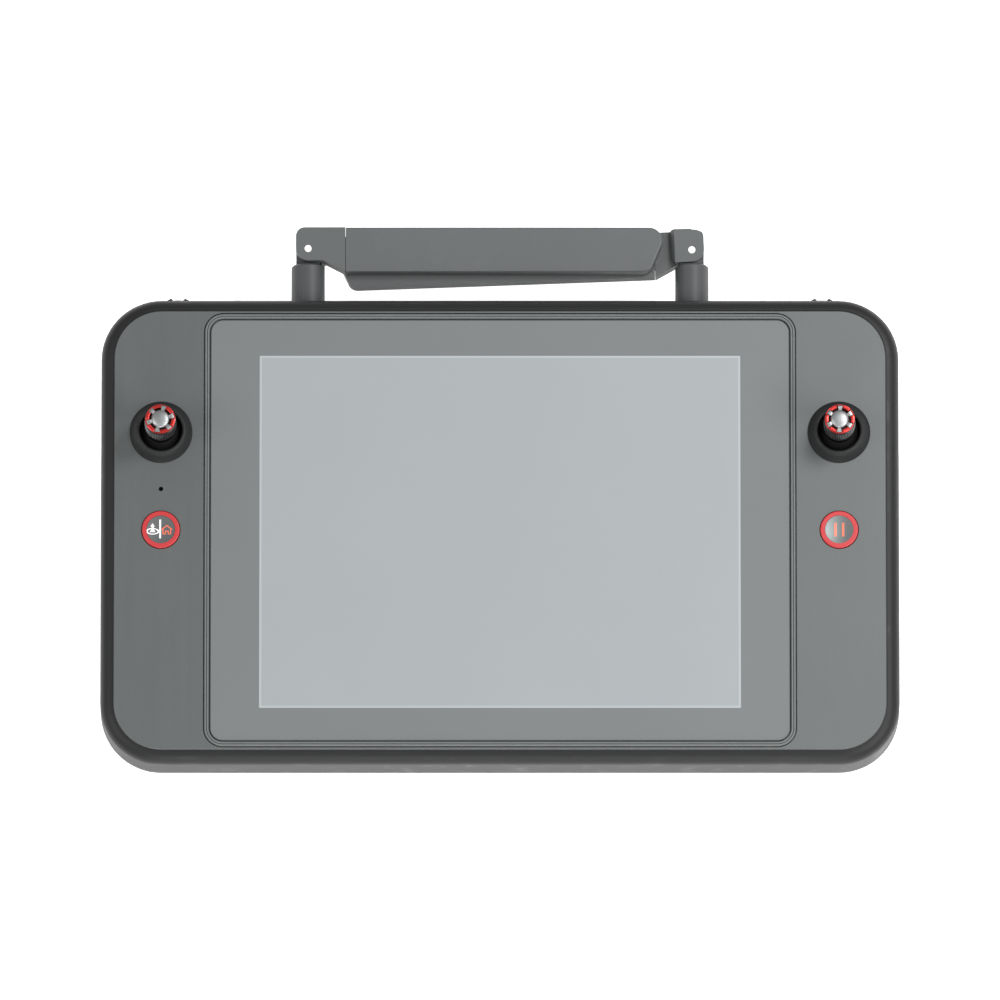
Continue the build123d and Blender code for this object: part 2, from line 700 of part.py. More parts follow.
def stick_crown(side):
    """The coloured ring on top of the knob, with six notches."""
    z0 = FACE_Z + KNOB_TOP
    ring = disc(side * STICK_X, STICK_Y, CROWN_R, z0, z0 + CROWN_T)
    ring = chamfer(ring.faces().sort_by(Axis.Z)[-1].edges(), 0.4)
    ring -= disc(side * STICK_X, STICK_Y, CROWN_IN_R, z0 - 1, z0 + CROWN_T + 1)
    for bar in spokes(side, 1.9, 2.0, CROWN_R + 1, z0 - 1, z0 + CROWN_T + 1):
        ring -= bar
    return ring


def stick_tip(side):
    """The metal centre of the crown, with a spoke in each notch and a domed middle."""
    z0 = FACE_Z + KNOB_TOP
    x = side * STICK_X
    tip = disc(x, STICK_Y, TIP_R, z0, z0 + 1.0)
    cap = Pos(x, STICK_Y, z0 + 1.65 - 7.0) * Sphere(7.0)
    tip += cap & disc(x, STICK_Y, TIP_R, z0 + 0.5, z0 + 3)
    for bar in spokes(side, 1.7, 2.0, CROWN_R - 0.15, z0, z0 + 1.2):
        tip += bar
    return tip


def button_ring(side):
    """The coloured ring of a face button."""
    x = side * BUTTON_X
    ring = disc(x, BUTTON_Y, RING_R, PANEL_Z - GAP, FACE_Z + RING_RISE)
    ring = fillet(ring.faces().sort_by(Axis.Z)[-1].edges(), 0.4)
    return ring - disc(x, BUTTON_Y, CAP_R + 0.05, PANEL_Z - 1, FACE_Z + 2)


def button_cap(side):
    """The dished middle of a face button, with the flange that keeps it in the panel."""
    x = side * BUTTON_X
    z0 = PANEL_Z - GAP - CAP_FLANGE_T
    cap = disc(x, BUTTON_Y, CAP_R, z0, FACE_Z + CAP_RISE)
    cap += disc(x, BUTTON_Y, CAP_FLANGE_R, z0, PANEL_Z - GAP)
    dish_r = 30.0
    return cap - Pos(x, BUTTON_Y, FACE_Z + CAP_RISE - 0.35 + dish_r) * Sphere(dish_r)


def button_boards():
    """The small boards under the face buttons, with their switches and the microphone."""
    z0 = SWITCH_BOARD_Z
    parts = []
    for side in SIDES.values():
        x = side * BUTTON_X
        board = block(x - 11, x + 11, -11, 18.5, z0, z0 + 1.2)
        board += block(x - 3, x + 3, BUTTON_Y - 3, BUTTON_Y + 3, z0 + 1.1, z0 + 3.0)
        if side < 0:
            board += disc(x, MIC_Y, 2.2, z0 + 1.1, z0 + 4.2)
        parts.append(board)
    return Compound(parts)


def dial(side):
    """A thumb wheel with its spindle, standing proud of the top wall."""
    x = side * DIAL_X
    wheel = disc(x, DIAL_Y, DIAL_R, TOP_Z - DIAL_T / 2, TOP_Z + DIAL_T / 2)
    rims = wheel.edges().filter_by(GeomType.CIRCLE)
    wheel = chamfer(rims, 0.5)
    reach = DIAL_T / 2 + CRADLE_WALL
    return wheel + disc(x, DIAL_Y, SPINDLE_R, TOP_Z - reach, TOP_Z + reach)


def dial_cradle(side):
    """The wheel's bracket, with a low lip outside the wall on each side of the wheel."""
    x = side * DIAL_X
    half = CRADLE_W / 2
    tall = DIAL_T / 2 + GAP + CRADLE_WALL
    y0 = DIAL_Y - 4.0
    cradle = block(x - half, x + half, y0, WALL_Y, TOP_Z - tall, TOP_Z + tall)
    edge_y = WALL_Y + LIP_EDGE
    scoop = SCOOP_HALF - SCOOP_SLOPE
    outline = Polyline(
        (x - half, WALL_Y),
        (x - LIP_HALF, edge_y),
        (x - SCOOP_HALF, WALL_Y + LIP_RISE),
        (x - scoop, edge_y),
        (x + scoop, edge_y),
        (x + SCOOP_HALF, WALL_Y + LIP_RISE),
        (x + LIP_HALF, edge_y),
        (x + half, WALL_Y),
        close=True,
    )
    cradle += Pos(0, 0, TOP_Z - tall) * extrude(make_face(outline), 2 * tall)
    space = DIAL_T / 2 + GAP
    cradle -= disc(x, DIAL_Y, DIAL_R + 0.3, TOP_Z - space, TOP_Z + space)
    return cradle - disc(x, DIAL_Y, SPINDLE_R + RUNNING, TOP_Z - tall - 1, TOP_Z + tall + 1)


def wall_key(x, r):
    """A push key in the top wall, domed outside and flanged inside."""
    key = rod_y(x, TOP_Z, r, INNER_WALL_Y - 1.6, WALL_Y + KEY_RISE)
    key = fillet(key.faces().sort_by(Axis.Y)[-1].edges(), 0.45)
    return key + rod_y(x, TOP_Z, r + 0.8, INNER_WALL_Y - 1.4, INNER_WALL_Y - GAP)


def custom_button(side):
    """A push key on the back, beside a grip."""
    x = side * CUSTOM_X
    key = disc(x, CUSTOM_Y, CUSTOM_R, BACK_Z - 0.9, BACK_IN_Z + 1.6)
    key = fillet(key.faces().sort_by(Axis.Z)[0].edges(), 0.5)
    return key + disc(x, CUSTOM_Y, CUSTOM_R + 1.0, BACK_IN_Z + GAP, BACK_IN_Z + 1.4)


def antenna_bushes():
    """The bushes that the antenna posts turn in."""
    parts = [
        rod_y(side * POST_X, ANTENNA_Z, BUSH_R, SADDLE_Y, WALL_Y)
        - rod_y(side * POST_X, ANTENNA_Z, POST_R + RUNNING, SADDLE_Y - 1, WALL_Y + 1)
        for side in SIDES.values()
    ]
    return Compound(parts)


def antenna_post(side):
    """A swivelling post: flange inside the casing, round stem and a tongue for the pin."""
    x = side * POST_X
    inner_y = SADDLE_Y - GAP - FLANGE_T
    post = rod_y(x, ANTENNA_Z, POST_R, inner_y, POST_TOP_Y)
    post = chamfer(post.faces().sort_by(Axis.Y)[-1].edges(), 0.6)
    post += rod_y(x, ANTENNA_Z, POST_R + FLANGE_W, inner_y, SADDLE_Y - GAP)
    half = TONGUE_T / 2
    post += block(x - TONGUE_R, x + TONGUE_R, POST_TOP_Y - 1, PIN_Y, ANTENNA_Z - half, ANTENNA_Z + half)
    post += disc(x, PIN_Y, TONGUE_R, ANTENNA_Z - half, ANTENNA_Z + half)
    return post - disc(x, PIN_Y, PIN_R, ANTENNA_Z - TONGUE_T, ANTENNA_Z + TONGUE_T)


def antenna_pin(side):
    """The steel hinge pin, flush with the antenna's cheeks."""
    pin = disc(0, 0, PIN_R, GAP - HEAD_BACK, HEAD_T / 2 - GAP)
    return place_antenna(chamfer(pin.edges().filter_by(GeomType.CIRCLE), 0.15), side)


def head_outline():
    """The antenna head seen from the front, with the pin at the origin and the blade to +X."""
    r = 3.0
    left = -HEAD_EDGE
    slope_x = POST_R - SLOPE_SHORT
    lines = (
        RadiusArc((left, 0), (0, left), -HEAD_EDGE)
        + Line((0, left), (slope_x, left))
        + Line((slope_x, left), (NECK_END, BLADE_LOW))
        + Line((NECK_END, BLADE_LOW), (NECK_END, BLADE_TOP))
        + Line((NECK_END, BLADE_TOP), (left + r, BLADE_TOP))
        + RadiusArc((left + r, BLADE_TOP), (left, BLADE_TOP - r), -r)
        + Line((left, BLADE_TOP - r), (left, 0))
    )
    return make_face(lines)


def antenna_arm():
    """The hinge head in two halves, with the tang inside the cover and the radiator strip."""
    half = HEAD_T / 2
    front = BLADE_GAP / 2
    outline = head_outline()
    arm = Pos(0, 0, front) * extrude(outline, half - front)
    back = Pos(0, 0, -HEAD_BACK) * extrude(outline, HEAD_BACK + front)
    sweep = Cylinder(HEAD_SWEEP_R, 4 * half)
    sweep += block(0, HEAD_SWEEP_R, 0, BLADE_TOP, -half, half)
    back &= sweep
    back &= Rot(90, 0, 0) * Cylinder(HEAD_SWEEP_R, 4 * half)
    slot = TONGUE_T / 2 + RUNNING
    clear = TONGUE_R + 0.5
    space = disc(0, 0, clear, -slot, slot)
    space += block(-2 * clear, 0, -2 * clear, clear, -slot, slot)
    space += block(-2 * clear, clear, -2 * clear, 0, -slot, slot)
    space += disc(0, 0, PIN_R + RUNNING, -half - 1, half + 1)
    middle = (front + half) / 2
    tang = block(NECK_END - 1, TANG_END, BLADE_LOW + 3, BLADE_TOP - 3, middle - 1.1, middle + 1.1)
    strip = block(
        TANG_END + 2, BLADE_LENGTH - 9, BLADE_LOW + 3.5, BLADE_TOP - 3.5, middle - 0.4, middle + 0.4
    )
    return [arm + tang - space, back - space, strip]


def blade_outline(inset=0.0):
    """The blade seen from the front: straight edges and a slanted, rounded tip."""
    tip = BLADE_LENGTH - inset
    top = BLADE_TOP - inset
    low = BLADE_LOW + inset
    start = NECK_END + 0.15
    outline = Polyline((start, low), (tip - BLADE_SLANT, low), (tip, top), (start, top), close=True)
    face = make_face(outline)
    tip_corners = face.vertices().sort_by(Axis.X)[2:]
    face = fillet(tip_corners[0], TIP_LOW_R - inset)
    tip_corner = face.vertices().sort_by(Axis.X)[-1]
    return fillet(tip_corner, TIP_HIGH_R - inset)


def antenna_cover():
    """The blade's hollow cover."""
    half = HEAD_T / 2
    front = BLADE_GAP / 2
    shell = Pos(0, 0, front) * extrude(blade_outline(), half - front)
    rim = shell.faces().sort_by(Axis.Z)[-1].edges().sort_by(Axis.X)[1:]
    shell = fillet(rim, 0.6)
    wall = BLADE_WALL
    cavity = Pos(0, 0, front + wall) * extrude(blade_outline(wall), half - front - 2 * wall)
    return shell - cavity


def place_antenna(shape, side):
    """The left antenna's blade lies in front. The right one is the same part turned over."""
    if side < 0:
        return Pos(-POST_X, PIN_Y, ANTENNA_Z) * shape
    return Pos(POST_X, PIN_Y, ANTENNA_Z) * Rot(0, 0, REAR_DROOP) * Rot(0, 180, 0) * shape


def pieces():
    """Every piece of the transmitter as {node name: shape}."""
    made = {
        "rim_frame": rim_frame(),
        "front_panel": front_panel(),
        "rear_shell": rear_shell(),
        "screen_gasket": screen_gasket(),
        "cover_glass": cover_glass(),
        "lcd_module": lcd_module(),
        "chassis_plate": chassis_plate(),
        "main_board": main_board(),
        "board_components": board_components(),
        "heat_sink": heat_sink(),
        "fan_housing": fan_housing(),
        "fan_rotor": fan_rotor(),
        "battery_pack": battery_pack(),
        "battery_cover": battery_cover(),
        "casing_screws": casing_screws(),
        "speakers": speakers(),
        "tripod_insert": tripod_insert(),
        "button_boards": button_boards(),
        "port_cover": port_cover(),
        "port_sockets": port_sockets(),
        "record_button": wall_key(-SHOULDER_X, SHOULDER_R),
        "shutter_button": wall_key(SHOULDER_X, SHOULDER_R),
        "power_button": wall_key(POWER_X, POWER_R),
        "antenna_bushes": antenna_bushes(),
    }
    cover = antenna_cover()
    arm = antenna_arm()
    for name, side in SIDES.items():
        made[f"grip_core_{name}"] = grip_core(side)
        made[f"grip_sleeve_{name}"] = grip_sleeve(side)
        made[f"stick_collar_{name}"] = stick_collar(side)
        made[f"gimbal_frame_{name}"] = gimbal_frame(side)
        made[f"gimbal_yoke_{name}"] = gimbal_yoke(side)
        made[f"stick_stem_{name}"] = stick_stem(side)
        made[f"stick_knob_{name}"] = stick_knob(side)
        made[f"stick_crown_{name}"] = stick_crown(side)
        made[f"stick_tip_{name}"] = stick_tip(side)
        made[f"dial_{name}"] = dial(side)
        made[f"dial_cradle_{name}"] = dial_cradle(side)
        made[f"custom_button_{name}"] = custom_button(side)
        made[f"antenna_post_{name}"] = antenna_post(side)
        made[f"antenna_pin_{name}"] = antenna_pin(side)
        made[f"antenna_cover_{name}"] = place_antenna(cover, side)
        made[f"antenna_arm_{name}"] = Compound([place_antenna(solid, side) for solid in arm])
    for name, side in (("home", -1), ("pause", 1)):
        made[f"{name}_ring"] = button_ring(side)
        made[f"{name}_cap"] = button_cap(side)
    return made


def main():
    os.makedirs("parts", exist_ok=True)
    for name, shape in pieces().items():
        export_step(Pos(0, -ORIGIN_Y, 0) * shape, f"parts/{name}.step")


if __name__ == "__main__":
    main()
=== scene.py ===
"""Looks for the handheld radio transmitter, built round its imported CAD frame.

Everything is in metres in the CAD frame: X to the user's right, Y away from the user, Z out of
the screen. Pieces are drawn in millimetres and scaled by MM where they are placed.
"""

from math import atan2, cos, degrees, radians, sin, tau

import bpy
from mathutils import Matrix, Vector


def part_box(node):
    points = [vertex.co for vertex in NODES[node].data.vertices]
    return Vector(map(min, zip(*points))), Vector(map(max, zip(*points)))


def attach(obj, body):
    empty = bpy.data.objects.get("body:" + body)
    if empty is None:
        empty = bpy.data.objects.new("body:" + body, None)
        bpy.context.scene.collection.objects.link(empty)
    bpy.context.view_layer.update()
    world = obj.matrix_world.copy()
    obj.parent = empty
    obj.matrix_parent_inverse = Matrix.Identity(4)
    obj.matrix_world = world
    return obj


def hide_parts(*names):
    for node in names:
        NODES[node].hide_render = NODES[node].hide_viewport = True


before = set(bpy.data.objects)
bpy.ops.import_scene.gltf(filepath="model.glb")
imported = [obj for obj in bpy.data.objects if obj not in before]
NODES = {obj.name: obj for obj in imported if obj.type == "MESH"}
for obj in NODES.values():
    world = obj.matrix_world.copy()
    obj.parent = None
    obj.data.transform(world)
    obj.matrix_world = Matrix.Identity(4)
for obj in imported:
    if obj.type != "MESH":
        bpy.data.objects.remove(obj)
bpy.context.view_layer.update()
MM = 0.001
SIDES = ("left", "right")


# Places read from the frame

def middle(node):
    """The middle of a CAD node's box."""
    low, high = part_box(node)
    return (low + high) / 2


FACE_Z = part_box("front_panel")[1].z
BODY_LOW, BODY_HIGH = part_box("rim_frame")
BODY_MID = (BODY_LOW + BODY_HIGH) / 2


# Camera, floor and light

CAMERA_AWAY = 8.0
CAMERA_RISE = radians(77.5)
CAMERA_LENS = 860.5
CAMERA_OVER = 0.0102
LIGHT_TARGET = (0.0, 0.0, 0.05)
DOME_STRENGTH = 0.55
FLOOR_SIZE = 12.0


def aim(thing, target):
    """Turns a camera or light to look at a point."""
    direction = Vector(target) - thing.location
    thing.rotation_euler = direction.to_track_quat("-Z", "Y").to_euler()


def add_camera():
    """A long lens from the user's side, close to square on to the screen."""
    target = Vector((0.0, BODY_MID.y + CAMERA_OVER, FACE_Z))
    data = bpy.data.cameras.new("camera")
    data.sensor_width = 36.0
    data.lens = CAMERA_LENS
    data.clip_end = 20.0
    camera = bpy.data.objects.new("camera", data)
    bpy.context.scene.collection.objects.link(camera)
    camera.location = target + CAMERA_AWAY * Vector((0.0, -cos(CAMERA_RISE), sin(CAMERA_RISE)))
    aim(camera, target)
    bpy.context.scene.camera = camera


def add_area(name, place, size, power):
    """A round soft light that faces the casing."""
    data = bpy.data.lights.new(name, "AREA")
    data.shape = "DISK"
    data.size = size
    data.energy = power
    light = bpy.data.objects.new(name, data)
    bpy.context.scene.collection.objects.link(light)
    light.location = place
    aim(light, LIGHT_TARGET)


def add_light():
    """A wide soft key from the right, a fill from the left and a bright even surround."""
    add_area("key", (0.95, -0.55, 1.25), 0.9, 15.0)
    add_area("fill", (-1.1, -0.35, 1.3), 0.9, 9.0)
    add_area("front", (0.0, -1.5, 0.7), 1.0, 11.0)
    add_area("sweep", (0.42, 0.24, 0.85), 0.3, 4.0)
    world = bpy.data.worlds.new("surround")
    bpy.context.scene.world = world
    world.use_nodes = True
    nodes = world.node_tree.nodes
    links = world.node_tree.links
    dome = nodes["Background"]
    dome.inputs["Color"].default_value = (1.0, 1.0, 1.0, 1.0)
    dome.inputs["Strength"].default_value = DOME_STRENGTH
    seen = nodes.new("ShaderNodeBackground")
    seen.inputs["Color"].default_value = (1.0, 1.0, 1.0, 1.0)
    seen.inputs["Strength"].default_value = 1.0
    path = nodes.new("ShaderNodeLightPath")
    mix = nodes.new("ShaderNodeMixShader")
    links.new(path.outputs["Is Camera Ray"], mix.inputs[0])
    links.new(dome.outputs[0], mix.inputs[1])
    links.new(seen.outputs[0], mix.inputs[2])
    links.new(mix.outputs[0], nodes["World Output"].inputs["Surface"])
    bpy.context.scene.view_settings.view_transform = "Standard"


# Finishes

# The Mix node's colour sockets
MIX_A = 6
MIX_B = 7
MIX_COLOUR = 2


class Signal:
    """One value in a finish. Arithmetic on it adds Math nodes."""

    def __init__(self, finish, socket):
        self.finish = finish
        self.socket = socket

    def math(self, operation, first, second=0.0):
        return self.finish.add("ShaderNodeMath", {"operation": operation}, {0: first, 1: second})

    def __add__(self, other):
        return self.math("ADD", self, other)

    def __sub__(self, other):
        return self.math("SUBTRACT", self, other)

    def __rsub__(self, other):
        return self.math("SUBTRACT", other, self)

    def __mul__(self, other):
        return self.math("MULTIPLY", self, other)

    def __truediv__(self, other):
        return self.math("DIVIDE", self, other)

    def __abs__(self):
        return self.math("ABSOLUTE", self)

    __radd__ = __add__
    __rmul__ = __mul__

    def lesser(self, other):
        return self.math("MINIMUM", self, other)

    def greater(self, other):
        return self.math("MAXIMUM", self, other)

    def root(self):
        return self.math("SQRT", self)

    def below(self, limit, soft=0.05):
        """1 where the signal is under the limit, with a soft edge."""
        return 1.0 - self.step(limit - soft, limit + soft)

    def step(self, low, high):
        """0 below low and 1 above high, smooth between."""
        settings = {"interpolation_type": "SMOOTHSTEP"}
        return self.finish.add("ShaderNodeMapRange", settings, {0: self, 1: low, 2: high})


class Finish:
    """A material: its nodes are added through one method, its constants set on the shader."""

    def __init__(self, name, **constants):
        self.material = bpy.data.materials.new(name)
        self.material.use_nodes = True
        self.tree = self.material.node_tree
        self.shader = self.tree.nodes["Principled BSDF"]
        self.place = self.add("ShaderNodeTexCoord", out="Object")
        for socket, value in constants.items():
            self.feed(socket.replace("_", " "), value)

    def add(self, kind, settings=None, sockets=None, out=0):
        """Adds a node, with its settings first and then its sockets' values or links."""
        node = self.tree.nodes.new(kind)
        for key, value in (settings or {}).items():
            setattr(node, key, value)
        for key, value in (sockets or {}).items():
            self.join(node.inputs[key], value)
        return Signal(self, node.outputs[out])

    def join(self, target, value):
        if isinstance(value, Signal):
            self.tree.links.new(value.socket, target)
        else:
            target.default_value = value

    def feed(self, socket, value):
        """Sets or links one of the shader's sockets. A colour is three numbers."""
        if isinstance(value, tuple) and len(value) == 3:
            value = (*value, 1.0)
        self.join(self.shader.inputs[socket], value)

    def noise(self, scale, detail=3.0, roughness=0.55, place=None):
        sockets = {"Vector": place or self.place, "Scale": scale}
        sockets.update({"Detail": detail, "Roughness": roughness})
        return self.add("ShaderNodeTexNoise", None, sockets)

    def stretched(self, x, y, z):
        """Object coordinates scaled along each axis, for brushed and streaked patterns."""
        return self.add("ShaderNodeMapping", None, {"Vector": self.place, "Scale": (x, y, z)})

    def mix(self, factor, first, second):
        """A colour between two others."""
        sockets = {0: factor, MIX_A: self.colour(first), MIX_B: self.colour(second)}
        return self.add("ShaderNodeMix", {"data_type": "RGBA"}, sockets, MIX_COLOUR)

    def colour(self, value):
        return (*value, 1.0) if isinstance(value, tuple) and len(value) == 3 else value

    def bump(self, height, distance):
        sockets = {"Height": height, "Distance": distance, "Strength": 1.0}
        self.feed("Normal", self.add("ShaderNodeBump", None, sockets))

    def axes(self):
        """Object X, Y and Z as separate signals."""
        split = self.add("ShaderNodeSeparateXYZ", None, {0: self.place})
        node = split.socket.node
        return [Signal(self, node.outputs[n]) for n in range(3)]


def tint(colour, share):
    """A colour made lighter or darker."""
    return tuple(c * share for c in colour)


def moulded(name, colour, roughness=0.55, grain=0.35, depth=0.012, spread=0.06, **constants):
    """Moulded plastic or rubber: a fine erosion texture, faint flow shades and rubbed patches."""
    finish = Finish(name, **constants)
    shade = finish.noise(38.0, 3.0)
    fine = finish.noise(1.0 / (grain * MM), 2.0, 0.6)
    rub = finish.noise(120.0, 5.0, 0.65).step(0.5, 0.72)
    mixed = finish.mix(shade, tint(colour, 1.0 - spread), tint(colour, 1.0 + spread))
    finish.feed("Base Color", finish.mix(rub * 0.12, mixed, tint(colour, 1.6)))
    finish.feed("Roughness", roughness + 0.1 * (fine - 0.5) - 0.08 * rub)
    finish.bump(fine, depth * MM)
    return finish.material


def metal(name, colour, roughness=0.3, streak=(100.0, 100.0, 2250.0), depth=0.004):
    """Machined metal: fine tool marks along one direction and faint handling marks."""
    finish = Finish(name, Metallic=1.0)
    marks = finish.noise(1.0, 4.0, 0.6, finish.stretched(*streak))
    smudge = finish.noise(150.0, 3.0)
    finish.feed("Base Color", finish.mix(marks, tint(colour, 0.9), tint(colour, 1.08)))
    finish.feed("Roughness", roughness + 0.16 * (smudge - 0.5) + 0.1 * (marks - 0.5))
    finish.bump(marks, depth * MM)
    return finish.material


def knurled_metal(side):
    """The knob's dark metal, brighter on the points of the knurl."""
    finish = Finish(f"knurled_metal_{side}", Metallic=1.0)
    x, y, z = finish.axes()
    centre = middle(f"stick_knob_{side}")
    across = x - centre.x
    deep = y - centre.y
    brighter_points = (across * across + deep * deep).root().step(5.12 * MM, 5.27 * MM)
    marks = finish.noise(1.0, 4.0, 0.6, finish.stretched(100.0, 100.0, 2250.0))
    smudge = finish.noise(150.0, 3.0)
    base = finish.mix(marks, (0.030, 0.031, 0.032), (0.037, 0.038, 0.040))
    brighter_points = brighter_points * z.below(FACE_Z + 18.8 * MM, 0.1 * MM)
    finish.feed("Base Color", finish.mix(brighter_points, base, (0.2, 0.205, 0.21)))
    finish.feed("Roughness", 0.26 + 0.16 * (smudge - 0.5) + 0.1 * (marks - 0.5))
    finish.bump(marks, 0.004 * MM)
    return finish.material


def face_paint():
    """The face panel's satin metallic paint: fine flake, faint streaks and a painted highlight on the
    bevel.
    """
    finish = Finish("face_paint", Metallic=0.75, Specular_IOR_Level=0.4)
    flake = finish.noise(5200.0, 2.0, 0.7)
    streak = finish.noise(1.0, 3.0, 0.6, finish.stretched(420.0, 18.0, 18.0))
    cloud = finish.noise(16.0, 4.0, 0.6)
    base = finish.mix(cloud, (0.105, 0.112, 0.112), (0.122, 0.130, 0.130))
    base = finish.mix(0.35 * streak, base, (0.14, 0.148, 0.148))
    base = finish.mix(flake.step(0.56, 0.7) * 0.35, base, (0.2, 0.21, 0.21))
    x, y, z = finish.axes()
    # Painted highlight: the chamfer just under the top face is painted lighter along the panel's edge.
    under_top = 1.0 - z.step(FACE_Z - 0.08 * MM, FACE_Z - 0.02 * MM)
    bevel = z.step(FACE_Z - 0.45 * MM, FACE_Z - 0.3 * MM) * under_top
    finish.feed("Base Color", finish.mix(bevel * 0.6, base, (0.3, 0.31, 0.31)))
    finish.feed("Roughness", 0.5 + 0.14 * (flake - 0.5) + 0.06 * (streak - 0.5))
    finish.bump(flake, 0.006 * MM)
    return finish.material


# The lit part of the screen, in millimetres
DISPLAY_HALF_W = 80.5
DISPLAY_HALF_H = 60.3
DISPLAY_DROP = 0.6


def screen_glass():
    """The cover glass: a grey mask round the lighter display, with a fine bright line between."""
    finish = Finish("screen_glass", Coat_Roughness=0.04, Coat_IOR=1.5, Specular_IOR_Level=0.3)
    x, y, z = finish.axes()
    across = abs(x) - DISPLAY_HALF_W * MM
    along = abs(y - (BODY_MID.y - DISPLAY_DROP * MM)) - DISPLAY_HALF_H * MM
    edge = across.greater(along)
    inside = 1.0 - edge.step(-0.1 * MM, 0.1 * MM)
    line = edge.step(-0.9 * MM, -0.5 * MM) * inside
    smear = finish.noise(22.0, 4.0, 0.6)
    grain = finish.noise(4200.0, 1.0)
    mask = finish.mix(smear, (0.125, 0.134, 0.136), (0.136, 0.145, 0.147))
    lit = finish.mix(smear, (0.246, 0.264, 0.274), (0.26, 0.278, 0.287))
    lit = finish.mix(line * 0.4, lit, (0.42, 0.44, 0.45))
    lit = finish.mix(grain * 0.1, lit, (0.3, 0.33, 0.34))
    finish.feed("Base Color", finish.mix(inside, mask, lit))
    finish.feed("Roughness", 0.42 + 0.08 * smear)
    finish.feed("Coat Weight", 0.35 + 0.1 * smear)
    return finish.material


def near_stroke(x, y, start, end, width):
    """A mask for one straight stroke between two points, in millimetres."""
    (x0, y0), (x1, y1) = start, end
    dx = x1 - x0
    dy = y1 - y0
    share = ((x - x0) * dx + (y - y0) * dy) / (dx * dx + dy * dy)
    share = share.greater(0.0).lesser(1.0)
    off_x = x - x0 - share * dx
    off_y = y - y0 - share * dy
    return (off_x * off_x + off_y * off_y).root().below(width / 2)


def button_face(finish, cap):
    """A face button's own axes in millimetres, from its middle."""
    x, y, z = finish.axes()
    centre = middle(cap)
    return (x - centre.x) / MM, (y - centre.y) / MM


def cap_base(finish, x, shade, highlight_reach):
    """The caps' fine metallic grey with a painted highlight towards the left edge by a share, scaled
    darker by shade as painted shade.
    """
    grain = finish.noise(5200.0, 2.0, 0.7)
    # Painted highlight: the cap is painted lighter towards its left edge.
    sweep = (0.0 - x).step(-3.5, 5.0) * highlight_reach
    # Painted shade: the shade share darkens the whole cap where less light falls on it.
    base = finish.mix(sweep, tint((0.13, 0.137, 0.137), shade), tint((0.26, 0.30, 0.30), shade))
    finish.feed("Roughness", 0.42 + 0.15 * (grain - 0.5))
    return finish.mix(grain * 0.35, base, tint((0.2, 0.21, 0.21), shade)), grain


HOUSE_STROKE = 0.36


def home_face():
    """The left cap: a rising arrow over a ring in white, a bar, and a house outline in orange."""
    finish = Finish("home_cap", Metallic=0.3)
    x, y = button_face(finish, "home_cap")
    # Painted shade: the home cap is painted darker than the pause cap, with only a faint painted
    # highlight.
    base, grain = cap_base(finish, x, 0.66, 0.12)
    ax = abs(x + 2.75)
    head = (ax - (2.15 - y) * 0.62).greater(1.0 - y)
    stem = (ax - 0.32).greater(abs(y - 0.5) - 0.75)
    foot = (ax - 0.35 - (0.15 - y) * 0.6).greater(abs(y + 0.35) - 0.5)
    arrow = head.lesser(stem).lesser(foot).below(0.0)
    ring_x = (x + 2.75) / 1.95
    ring_y = (y + 0.6) / 0.95
    ring = abs((ring_x * ring_x + ring_y * ring_y).root() - 1.0).below(0.14)
    bar = (abs(x + 0.2) - 0.28).greater(abs(y - 0.22) - 3.2).below(0.0)
    white = arrow.greater(ring).greater(bar)
    hx = abs(x - 2.02)
    strokes = (
        ((0.0, 1.42), (1.7, 0.05)),
        ((1.28, 0.3), (1.28, -1.45)),
        ((1.28, -1.45), (0.48, -1.45)),
        ((0.48, -1.45), (0.48, -0.5)),
        ((0.48, -0.5), (0.0, -0.5)),
    )
    house = near_stroke(hx, y, *strokes[0], HOUSE_STROKE)
    for start, end in strokes[1:]:
        house = house.greater(near_stroke(hx, y, start, end, HOUSE_STROKE))
    base = finish.mix(white, base, (0.93, 0.93, 0.92))
    finish.feed("Base Color", finish.mix(house, base, (0.78, 0.16, 0.09)))
    finish.bump(grain * 0.3 + white.greater(house), 0.01 * MM)
    return finish.material


def pause_face():
    """The right cap, with two orange bars."""
    finish = Finish("pause_cap", Metallic=0.3)
    x, y = button_face(finish, "pause_cap")
    # Painted light: the pause cap is painted lighter than the home cap, with the full painted
    # highlight.
    base, grain = cap_base(finish, x, 0.78, 1.0)
    bars = (abs(abs(x - 0.03) - 1.3) - 0.36).greater(abs(y) - 2.3).below(0.0)
    finish.feed("Base Color", finish.mix(bars, base, (0.76, 0.17, 0.1)))
    finish.bump(grain * 0.3 + bars, 0.01 * MM)
    return finish.material


def dotted(name, colour, pitch, roughness, depth, **constants):
    """Rubber with a close pattern of small raised dots, painted lighter on the dots and darker in the
    gaps between them as painted light and shade.
    """
    finish = Finish(name, **constants)
    cells = {"Vector": finish.place, "Scale": 1.0 / (pitch * MM), "Randomness": 0.0}
    spread = finish.add("ShaderNodeTexVoronoi", None, cells)
    dots = 1.0 - spread.step(0.15, 0.5)
    fine = finish.noise(4000.0, 2.0)
    wear = finish.noise(60.0, 5.0, 0.65).step(0.5, 0.75)
    # Painted light and shade: the raised dots are painted lighter and the gaps between them darker.
    base = finish.mix(dots, tint(colour, 0.75), tint(colour, 1.25))
    finish.feed("Base Color", finish.mix(wear * 0.15, base, tint(colour, 1.7)))
    finish.feed("Roughness", roughness + 0.1 * fine - 0.1 * wear * dots)
    finish.bump(dots + 0.1 * fine, depth * MM)
    return finish.material


def streaked(name, colour, roughness, **constants):
    """Moulded plastic with long fine streaks along Y and shallow rubbed bands."""
    finish = Finish(name, **constants)
    streak = finish.noise(1.0, 4.0, 0.65, finish.stretched(1500.0, 14.0, 1500.0))
    fine = finish.noise(4500.0, 2.0)
    cloud = finish.noise(90.0, 4.0)
    base = finish.mix(streak, tint(colour, 0.82), tint(colour, 1.2))
    finish.feed("Base Color", finish.mix(cloud * 0.2, base, tint(colour, 1.35)))
    finish.feed("Roughness", roughness + 0.12 * (streak - 0.5) + 0.06 * (fine - 0.5))
    finish.bump(streak * 0.6 + fine * 0.4, 0.01 * MM)
    return finish.material


